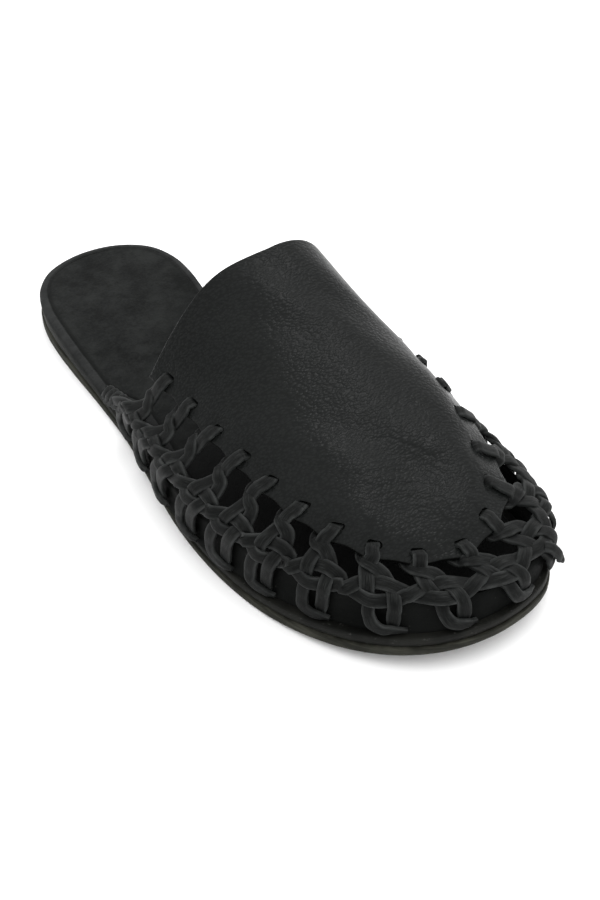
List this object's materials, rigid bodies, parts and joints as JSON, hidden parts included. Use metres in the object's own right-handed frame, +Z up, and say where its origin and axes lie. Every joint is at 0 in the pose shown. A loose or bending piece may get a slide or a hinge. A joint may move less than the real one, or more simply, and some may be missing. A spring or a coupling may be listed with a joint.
{
  "type": "woven mule sandal",
  "caption": "Backless flat leather mule sandal for the right foot: grained vamp laced to a low toe band with a woven chain of flat leather lace, on a layered sole.",
  "frame": {"origin": "on the floor, under the middle of the bounding box", "axes": "+Z up, toe toward -Y, heel toward +Y, lateral (outer) side toward -X, medial side toward +X"},
  "size_m": [0.1109, 0.275, 0.0781],
  "materials": {
    "outsole": "matt black rubber",
    "midsole": "black leather with a waxed edge",
    "insole": "black nubuck with a burnished rim",
    "toe_band": "black leather, matt",
    "vamp": "black pebbled leather, soft sheen",
    "lace_braid": "black flat leather lace, satin"
  },
  "bodies": {
    "root": {"outsole": "outsole", "midsole": "midsole", "insole": "insole", "toe_band": "toe_band", "vamp": "vamp", "lace_braid": "lace_braid"}
  },
  "joints": []
}
